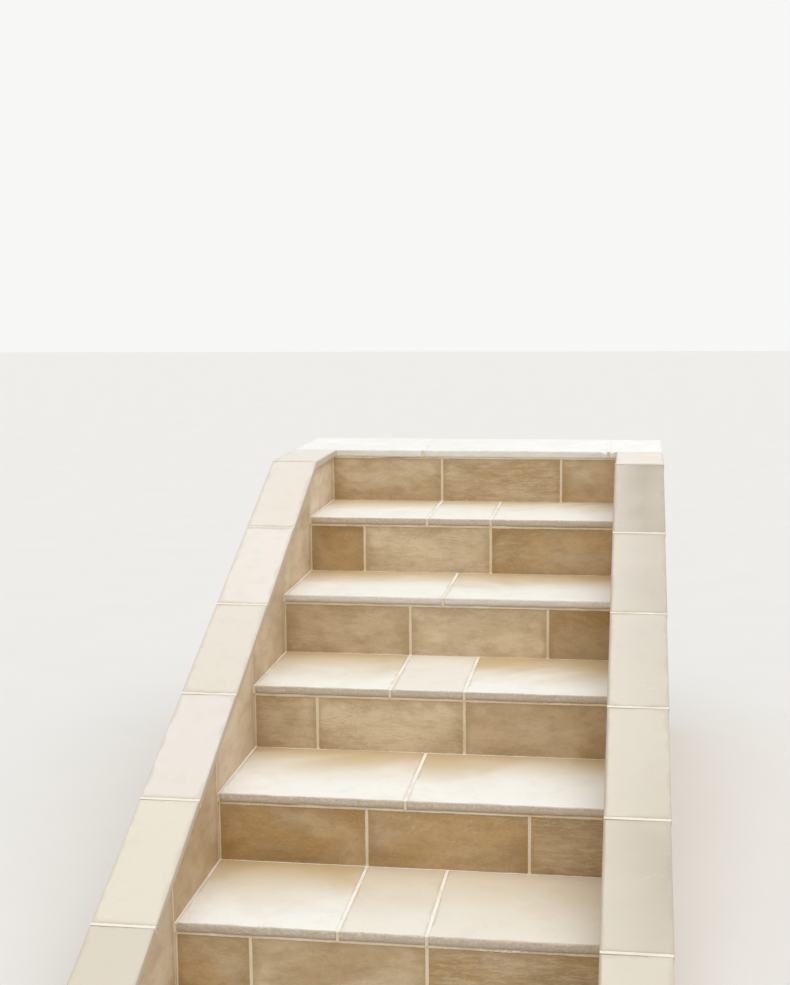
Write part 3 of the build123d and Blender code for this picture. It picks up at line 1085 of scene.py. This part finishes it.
def coping_stone(name, landing=False):
    """Smooth pale coping with faint scuffs, greyer on its sides, with painted shade along its edges. Except
    on the landing, it has a painted shadow line along its lower end.

    The landing's slabs are whiter and less glossy, without the copings' colouring and painted shade.
    """
    stone = Stone(name)
    w = stone.wiring
    palette = stone.palette
    cloud = w.use(group("Cloudy Tone", cloudy_tone), Vector=stone.grain, Patch_Size=0.3)
    marks = w.use(group("Pores and Scuffs", pores_and_scuffs), Vector=stone.grain, Scuff_Size=0.04)
    edges = w.use(
        group("Joint Edge", joint_edge),
        Vector=stone.grain,
        Edge=stone.edge,
        Film_Width=0.0008,
        Margin_Width=0.014,
    )
    if landing:
        most_cream, most_side, most_edge_shade = 0.12, 0.15, 0.1
        colour = w.mix(w.remap(cloud["Patches"], 0.0, 1.0, 0.0, 0.25), palette.landing, palette.coping_pale)
        stone.shader.inputs["Specular IOR Level"].default_value = 0.25
    else:
        most_cream, most_side, most_edge_shade = 0.3, 0.45, 0.35
        colour = coping_colour_and_shade(stone)
    colour = w.mix(w.remap(cloud["Patches"], 0.0, 1.0, 0.0, most_cream), colour, palette.coping_cream)
    colour = w.mix(w.remap(cloud["Mottle"], 0.0, 0.45, 0.12, 0.0), colour, palette.nosing)
    colour = w.mix(w.math("MULTIPLY", marks["Scuffs"], 0.25), colour, palette.mortar)
    on_side = w.remap(stone.edge, 0.0, 1.6 * MM, 1.0, 0.0)
    colour = w.mix(w.math("MULTIPLY", on_side, most_side), colour, palette.nosing)
    # Painted shade on the worn edges beside the joints
    colour = w.mix(w.math("MULTIPLY", edges["Margin"], most_edge_shade), colour, palette.tile_grey)
    if not landing:
        # Painted shadow line along the slab's lower end
        colour = w.mix(w.remap(stone.reach, 0.0, 0.012, 0.6, 0.0), colour, palette.tile_grey)
    roughness = w.remap(cloud["Mottle"], 0.0, 1.0, 0.6, 0.75)
    relief = w.math("ADD", w.math("MULTIPLY", cloud["Mottle"], 0.4), w.math("MULTIPLY", cloud["Grain"], 0.16))
    return stone.finish(colour, roughness, relief, 0.6 * MM)


def bare_material(name, colour, soiled, fineness, depth):
    """Material for concrete and blockwork, patterned by place in the frame."""
    surface = Surface(name)
    w = surface.wiring
    place = w.add("ShaderNodeTexCoord").outputs["Object"]
    cloud = w.use(group("Cloudy Tone", cloudy_tone), Vector=place, Patch_Size=0.15)
    sand = w.use(group("Sandy Grain", sandy_grain), Vector=place, Fineness=fineness)
    tone = w.mix(w.remap(cloud["Patches"], 0.4, 1.0, 0.0, 0.35), colour, soiled)
    tone = w.mix(sand["Dirt"], tone, soiled)
    return surface.finish(tone, sand["Roughness"], sand["Height"], depth)


def pointing_mortar(name, upward_colour):
    """Sandy mortar in its own pale colour where it faces up, and greyer on upright joints as painted shade.
    """
    surface = Surface(name)
    w = surface.wiring
    palette = surface.palette
    place = w.add("ShaderNodeTexCoord").outputs["Object"]
    normal = w.add("ShaderNodeNewGeometry").outputs["Normal"]
    upwards = w.add("ShaderNodeSeparateXYZ", {0: normal}).outputs[2]
    cloud = w.use(group("Cloudy Tone", cloudy_tone), Vector=place, Patch_Size=0.12)
    sand = w.use(group("Sandy Grain", sandy_grain), Vector=place, Fineness=260.0)
    # Greyer on upright faces: painted shade
    colour = w.mix(w.remap(upwards, 0.2, 0.7), palette.mortar_upright_shaded, upward_colour)
    colour = w.mix(w.remap(cloud["Patches"], 0.4, 1.0, 0.0, 0.3), colour, palette.mortar_soiled)
    colour = w.mix(sand["Dirt"], colour, palette.mortar_soiled)
    return surface.finish(colour, sand["Roughness"], sand["Height"], 0.5 * MM)


def frame_tree():
    """Search tree of every solid in the frame."""
    points = []
    faces = []
    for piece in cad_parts.values():
        start = len(points)
        points.extend(v.co.copy() for v in piece.data.vertices)
        faces.extend(tuple(start + n for n in polygon.vertices) for polygon in piece.data.polygons)
    return BVHTree.FromPolygons(points, faces)


def open_faces(working, tree):
    """Faces with nothing of the frame close in front of them."""
    clearance = 8 * MM
    seen = []
    for face in working.faces:
        start = face.calc_center_median() + face.normal * 0.05 * MM
        if tree.ray_cast(start, face.normal, clearance)[0] is None:
            seen.append(face)
    return seen


def triangulate_many_sided(working):
    """Cut the faces with more than four corners into triangles."""
    many_sided = [face for face in working.faces if len(face.verts) > 4]
    bmesh.ops.triangulate(working, faces=many_sided)


def divide_long_edges(working, faces, spacing):
    """Put points along the long edges of some faces, then join them up across the faces."""
    by_count = {}
    for edge in {edge for face in faces for edge in face.edges}:
        count = round(edge.calc_length() / spacing) - 1
        if count > 0:
            by_count.setdefault(count, []).append(edge)
    for count, edges in sorted(by_count.items()):
        bmesh.ops.subdivide_edges(working, edges=edges, cuts=count, use_grid_fill=True)
    triangulate_many_sided(working)


def divide_crosswise(working, seen, widest):
    """Give the strips of mortar a line of points along their middle."""
    crossing = []
    for edge in {edge for face in seen for edge in face.edges}:
        both = [face for face in edge.link_faces if face in seen]
        flat = len(both) == 2 and both[0].normal.dot(both[1].normal) > SAME_WAY
        if flat and 0.4 * widest < edge.calc_length() < widest:
            crossing.append(edge)
    bmesh.ops.subdivide_edges(working, edges=crossing, cuts=1, use_grid_fill=True)
    triangulate_many_sided(working)


def cut_at_steps(working):
    """Cut the mortar beside the flight where the risers and the treads meet it."""
    for riser in RISERS:
        cut_across(working, Vector((0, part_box(riser)[0].y, 0)), CLIMB)
    for tread in TREADS:
        cut_across(working, Vector((0, 0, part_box(tread)[1].z)), UP)


def cut_across(working, place, normal):
    """Divide every face that a plane crosses."""
    everything = [*working.verts, *working.edges, *working.faces]
    bmesh.ops.bisect_plane(working, geom=everything, dist=0.1 * MM, plane_co=place, plane_no=normal)


def mortar_lift(place, node, sizes):
    """How far the mortar stands forward of where the frame has it."""
    fine = noise.fractal(place * 150, 0.7, 2.0, 3)
    broad = noise.noise(place * 22)
    relief = sizes.mortar_relief * (0.6 * fine + 0.5 * broad)
    lift = sizes.mortar_flush + relief
    if node == "riser_pointing" and -place.z % RISE < UNDER_NOSING:
        lift += sizes.nosing_bed + 0.3 * MM * fine
    if node.endswith("inner_pointing") and place.y > TOP_CORNER:
        lift += sizes.corner_lumps * (0.5 + abs(noise.noise(place * 90)) * 1.6)
    return lift


def rough_pointing(node, tree, sizes, material):
    """Replace a node's mortar by the same with an uneven surface wherever it is open to view."""
    spacing = 8 * MM if node in OUTER_POINTING else 5 * MM
    working = bmesh.new()
    working.from_mesh(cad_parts[node].data)
    bmesh.ops.remove_doubles(working, verts=working.verts, dist=MERGE_DISTANCE)
    bmesh.ops.dissolve_limit(working, angle_limit=math.radians(1), verts=working.verts, edges=working.edges)
    bmesh.ops.connect_verts_concave(working, faces=working.faces)
    if node.endswith("inner_pointing"):
        cut_at_steps(working)
    divide_long_edges(working, open_faces(working, tree), spacing)
    divide_crosswise(working, set(open_faces(working, tree)), 1.6 * spacing)
    seen = open_faces(working, tree)
    directions = {}
    for face in seen:
        for vert in face.verts:
            found = directions.setdefault(vert, [])
            if all(face.normal.dot(other) < 0.9 for other in found):
                found.append(face.normal.copy())
    for vert, found in directions.items():
        place = vert.co.copy()
        for normal in found:
            vert.co += normal * mortar_lift(place, node, sizes)
    mesh = bpy.data.meshes.new("rough_" + node)
    working.to_mesh(mesh)
    working.free()
    mesh.materials.append(material)
    piece = bpy.data.objects.new("rough_" + node, mesh)
    bpy.context.scene.collection.objects.link(piece)
    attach(piece, "root")
    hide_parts(node)


class STAIR_OT_lay_treads(bpy.types.Operator):
    """Lay the worn treads, with their split fronts"""

    bl_idname = "stair.lay_treads"
    bl_label = "Lay Treads"

    def execute(self, context):
        sizes = context.scene.stair_sizes
        finish = Finish(
            spacing=4.5 * MM,
            face_spacing=11 * MM,
            arris=sizes.tile_arris,
            relief=0.9 * MM,
            relief_size=0.16,
            side_rings=7,
            chips=5.0,
            chip_size=sizes.chip_size,
            nosing_arris=sizes.nosing_arris,
            split=sizes.split_depth,
            wave=sizes.nosing_wave,
        )
        material = tread_stone("Tread Stone")
        lowest = replace(finish, nosing_arris=sizes.lowest_arris, wear=0.9)
        for node in TREADS:
            worn = lowest if node == TREADS[0] else finish
            lay_node(node, Lie(ACROSS, CLIMB), worn, material)
        return {"FINISHED"}


class STAIR_OT_lay_landing(bpy.types.Operator):
    """Lay the pale course of slabs along the landing's edge"""

    bl_idname = "stair.lay_landing"
    bl_label = "Lay Landing"

    def execute(self, context):
        sizes = context.scene.stair_sizes
        finish = Finish(
            spacing=5 * MM,
            face_spacing=12 * MM,
            arris=sizes.tile_arris,
            relief=0.8 * MM,
            relief_size=0.2,
            wear=0.8,
            side_rings=7,
            chips=5.0,
            chip_size=sizes.chip_size,
            nosing_arris=sizes.nosing_arris,
            split=sizes.split_depth,
            wave=sizes.nosing_wave,
        )
        material = coping_stone("Landing Stone", landing=True)
        lay_node("landing_course", Lie(ACROSS, CLIMB), finish, material)
        return {"FINISHED"}


class STAIR_OT_set_risers(bpy.types.Operator):
    """Set the riser tiles"""

    bl_idname = "stair.set_risers"
    bl_label = "Set Risers"

    def execute(self, context):
        sizes = context.scene.stair_sizes
        colours = context.scene.stair_colours
        finish = Finish(
            spacing=6 * MM,
            face_spacing=8 * MM,
            arris=sizes.tile_arris,
            relief=1.1 * MM,
            relief_size=0.11,
            stretch=2.6,
            chip_size=0.6 * sizes.chip_size,
        )
        pale, deep = colours.riser_pale, colours.riser_deep
        material = facing_stone("Riser Stone", pale, deep, 0.22, 0.5 * MM, 0.5, under_nosing=True)
        for node in RISERS:
            lay_node(node, Lie(ACROSS, UP), finish, material)
        return {"FINISHED"}


class STAIR_OT_set_cheek_facings(bpy.types.Operator):
    """Set the raking tiles on the inner sides of the cheeks"""

    bl_idname = "stair.set_cheek_facings"
    bl_label = "Set Cheek Facings"

    def execute(self, context):
        sizes = context.scene.stair_sizes
        colours = context.scene.stair_colours
        finish = Finish(
            spacing=6 * MM,
            face_spacing=10 * MM,
            arris=sizes.tile_arris,
            relief=0.9 * MM,
            relief_size=0.14,
            stretch=1.6,
            chip_size=0.5 * sizes.chip_size,
        )
        pale, deep = colours.facing_pale, colours.facing_deep
        material = facing_stone("Cheek Stone", pale, deep, 0.24, 1.6 * MM, paler_above=0.45)
        for node, across in INNER_FACINGS.items():
            lay_node(node, Lie(across, UP), finish, material)
        return {"FINISHED"}


class STAIR_OT_set_outer_facings(bpy.types.Operator):
    """Set the tiles on the outer sides, the back and the low ends of the cheeks"""

    bl_idname = "stair.set_outer_facings"
    bl_label = "Set Outer Facings"

    def execute(self, context):
        sizes = context.scene.stair_sizes
        colours = context.scene.stair_colours
        finish = Finish(
            spacing=8 * MM,
            face_spacing=14 * MM,
            arris=sizes.tile_arris,
            relief=0.9 * MM,
            relief_size=0.14,
            stretch=2.0,
            chip_size=0.5 * sizes.chip_size,
        )
        pale, deep = colours.riser_pale, colours.facing_deep
        material = facing_stone("Outer Stone", pale, deep, 0.22, 0.8 * MM, paler_above=0.1)
        for node, across in OUTER_FACINGS.items():
            lay_node(node, Lie(across, UP), finish, material)
        for node in END_TILES:
            lay_node(node, Lie(ACROSS, UP), finish, material)
        return {"FINISHED"}


class STAIR_OT_bed_copings(bpy.types.Operator):
    """Bed the raking coping slabs and their level caps"""

    bl_idname = "stair.bed_copings"
    bl_label = "Bed Copings"

    def execute(self, context):
        sizes = context.scene.stair_sizes
        finish = Finish(
            spacing=5 * MM,
            face_spacing=11 * MM,
            arris=sizes.coping_arris,
            relief=0.5 * MM,
            relief_size=0.22,
            wear=0.35,
            side_rings=4,
            chips=3.0,
            chip_size=0.6 * sizes.chip_size,
        )
        material = coping_stone("Coping Stone")
        for node in COPINGS:
            lay_node(node, Lie(ACROSS, RAKE), finish, material)
        for node in CAPS:
            lay_node(node, Lie(ACROSS, CLIMB), finish, material)
        return {"FINISHED"}


class STAIR_OT_point_joints(bpy.types.Operator):
    """Point the joints with uneven mortar"""

    bl_idname = "stair.point_joints"
    bl_label = "Point Joints"

    def execute(self, context):
        colours = context.scene.stair_colours
        between_tiles = pointing_mortar("Pointing Mortar", colours.mortar)
        between_copings = pointing_mortar("Coping Mortar", colours.coping_mortar)
        tree = frame_tree()
        for node in POINTING:
            material = between_copings if node == "coping_pointing" else between_tiles
            rough_pointing(node, tree, context.scene.stair_sizes, material)
        return {"FINISHED"}


class STAIR_OT_finish_masonry(bpy.types.Operator):
    """Give the concrete core and the cheek walls their bare finish"""

    bl_idname = "stair.finish_masonry"
    bl_label = "Finish Masonry"

    def execute(self, context):
        colours = context.scene.stair_colours
        concrete = bare_material("Concrete", colours.concrete, colours.mortar_soiled, 90.0, 1.0 * MM)
        blockwork = bare_material("Blockwork", colours.blockwork, colours.concrete, 120.0, 1.2 * MM)
        for node, material in (
            ("stair_core", concrete),
            ("left_cheek_wall", blockwork),
            ("right_cheek_wall", blockwork),
        ):
            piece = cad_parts[node]
            piece.data.materials.clear()
            piece.data.materials.append(material)
        return {"FINISHED"}


class STAIR_OT_set_stage(bpy.types.Operator):
    """Set out the floor, the light and the camera"""

    bl_idname = "stair.set_stage"
    bl_label = "Set Stage"

    def execute(self, context):
        stage = context.scene.stair_stage
        lay_floor(stage)
        light_sky(context.scene, stage)
        hang_lamp(stage)
        place_camera(context.scene, stage)
        context.scene.view_settings.view_transform = "Standard"
        return {"FINISHED"}


def lay_floor(stage):
    """Wide pale floor under the stair."""
    low, high = -FLOOR_REACH, FLOOR_REACH
    mesh = bpy.data.meshes.new("floor")
    mesh.from_pydata([(low, low, 0), (high, low, 0), (high, high, 0), (low, high, 0)], [], [(0, 1, 2, 3)])
    surface = Surface("Floor")
    w = surface.wiring
    place = w.add("ShaderNodeTexCoord").outputs["Object"]
    faint = w.noise(place, 3.0, 4.0, 0.5)
    grey = w.mix(w.remap(faint, 0.3, 0.7, 0.0, 0.04), stage.floor, (0.5, 0.5, 0.5))
    w.give(surface.shader.inputs["Base Color"], grey)
    surface.shader.inputs["Roughness"].default_value = 0.9
    w.arrange()
    mesh.materials.append(surface.material)
    floor = bpy.data.objects.new("floor", mesh)
    bpy.context.scene.collection.objects.link(floor)
    floor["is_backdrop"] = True


def light_sky(scene, stage):
    """Even light from all round, which the camera sees as a plain pale background."""
    world = bpy.data.worlds.new("Studio")
    world.use_nodes = True
    w = Wiring(world.node_tree)
    w.tree.nodes.clear()
    path = w.add("ShaderNodeLightPath").outputs
    mirrored = w.math("MAXIMUM", path["Is Glossy Ray"], path["Is Transmission Ray"])
    shown = w.math("MAXIMUM", path["Is Camera Ray"], mirrored)
    light = w.add("ShaderNodeBackground", {"Color": (1.0, 1.0, 1.0, 1.0), "Strength": stage.sky_level})
    plain = w.add("ShaderNodeBackground", {"Color": BACKGROUND, "Strength": 1.0})
    both = w.add("ShaderNodeMixShader", {0: shown, 1: light.outputs[0], 2: plain.outputs[0]})
    w.add("ShaderNodeOutputWorld", {"Surface": both.outputs[0]})
    w.arrange()
    scene.world = world


def hang_lamp(stage):
    """Wide soft lamp high over the flight, a little in front of it and to its right."""
    lamp = bpy.data.lights.new("wide_lamp", "SUN")
    lamp.energy = stage.lamp_level
    lamp.angle = stage.lamp_spread
    hung = bpy.data.objects.new("wide_lamp", lamp)
    hung.location = LAMP_PLACE
    hung.rotation_euler = (-LAMP_PLACE).to_track_quat("-Z", "Y").to_euler()
    bpy.context.scene.collection.objects.link(hung)


def place_camera(scene, stage):
    """Camera standing in front of the flight, a little to its right."""
    camera = bpy.data.cameras.new("camera")
    camera.sensor_width = CAMERA_SENSOR
    camera.lens = stage.lens
    camera.clip_start, camera.clip_end = CAMERA_SIGHT
    stood = bpy.data.objects.new("camera", camera)
    turned = (
        Matrix.Rotation(CAMERA_YAW, 4, "Z")
        @ Matrix.Rotation(CAMERA_PITCH, 4, "X")
        @ Matrix.Rotation(CAMERA_ROLL, 4, "Y")
        @ Matrix.Rotation(math.pi / 2, 4, "X")
    )
    stood.matrix_world = Matrix.Translation(CAMERA_PLACE) @ turned
    scene.collection.objects.link(stood)
    scene.camera = stood


class STAIR_PT_panel(bpy.types.Panel):
    """Panel that lists the steps of the work and the sizes and colours that it uses"""

    bl_idname = "STAIR_PT_panel"
    bl_label = "Tiled Outdoor Staircase"
    bl_space_type = "VIEW_3D"
    bl_region_type = "UI"
    bl_category = "Staircase"

    def draw(self, context):
        for work in WORKS:
            self.layout.operator(work.bl_idname)
        for held in (context.scene.stair_sizes, context.scene.stair_colours, context.scene.stair_stage):
            box = self.layout.box()
            for key in held.__annotations__:
                box.prop(held, key)


WORKS = (
    STAIR_OT_finish_masonry,
    STAIR_OT_lay_treads,
    STAIR_OT_lay_landing,
    STAIR_OT_set_risers,
    STAIR_OT_set_cheek_facings,
    STAIR_OT_set_outer_facings,
    STAIR_OT_bed_copings,
    STAIR_OT_point_joints,
    STAIR_OT_set_stage,
)
HELD = {"stair_sizes": StairSizes, "stair_colours": StairColours, "stair_stage": StairStage}


def register():
    """Register the classes, and give the scene its sizes, colours and stage."""
    for kind in (*HELD.values(), *WORKS, STAIR_PT_panel):
        bpy.utils.register_class(kind)
    for name, kind in HELD.items():
        setattr(bpy.types.Scene, name, PointerProperty(type=kind))


def unregister():
    """Take the classes and the scene's values away again."""
    for name in HELD:
        delattr(bpy.types.Scene, name)
    for kind in reversed((*HELD.values(), *WORKS, STAIR_PT_panel)):
        bpy.utils.unregister_class(kind)


def main():
    """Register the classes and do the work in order."""
    register()
    bpy.ops.stair.finish_masonry()
    bpy.ops.stair.lay_treads()
    bpy.ops.stair.lay_landing()
    bpy.ops.stair.set_risers()
    bpy.ops.stair.set_cheek_facings()
    bpy.ops.stair.set_outer_facings()
    bpy.ops.stair.bed_copings()
    bpy.ops.stair.point_joints()
    bpy.ops.stair.set_stage()
    boxes = {"cad": CAD_BOX, "visual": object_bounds()}
    {name: [list(corner) for corner in box] for name, box in boxes.items()}


if __name__ == "__main__":
    main()
